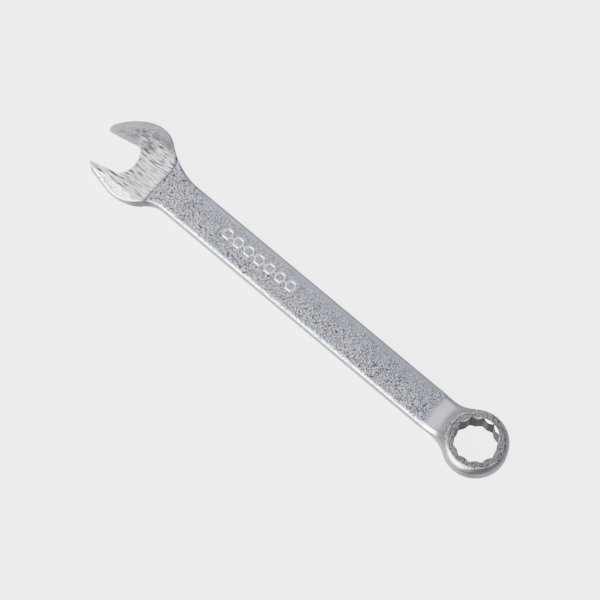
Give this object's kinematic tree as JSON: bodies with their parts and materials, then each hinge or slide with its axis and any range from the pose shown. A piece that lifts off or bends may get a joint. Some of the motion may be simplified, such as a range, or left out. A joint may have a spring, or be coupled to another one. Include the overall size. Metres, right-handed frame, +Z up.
{
  "type": "combination wrench",
  "caption": "Plated combination wrench with an angled open jaw at one end and a twelve-point box ring at the other.",
  "frame": {"origin": "under the middle of the bounding box, on the surface the wrench lies on", "axes": "+X along the shank towards the box end, +Z up out of the marked face, +Y across the shank towards the short jaw"},
  "size_m": [0.1712, 0.0284, 0.0098],
  "materials": {
    "satin_plating": "satin",
    "ground_steel": "coarsely ground"
  },
  "bodies": {
    "root": {"open_end_head": "ground_steel", "shank": "satin_plating", "box_end_head": "satin_plating", "raised_mark": "satin_plating"}
  },
  "joints": []
}
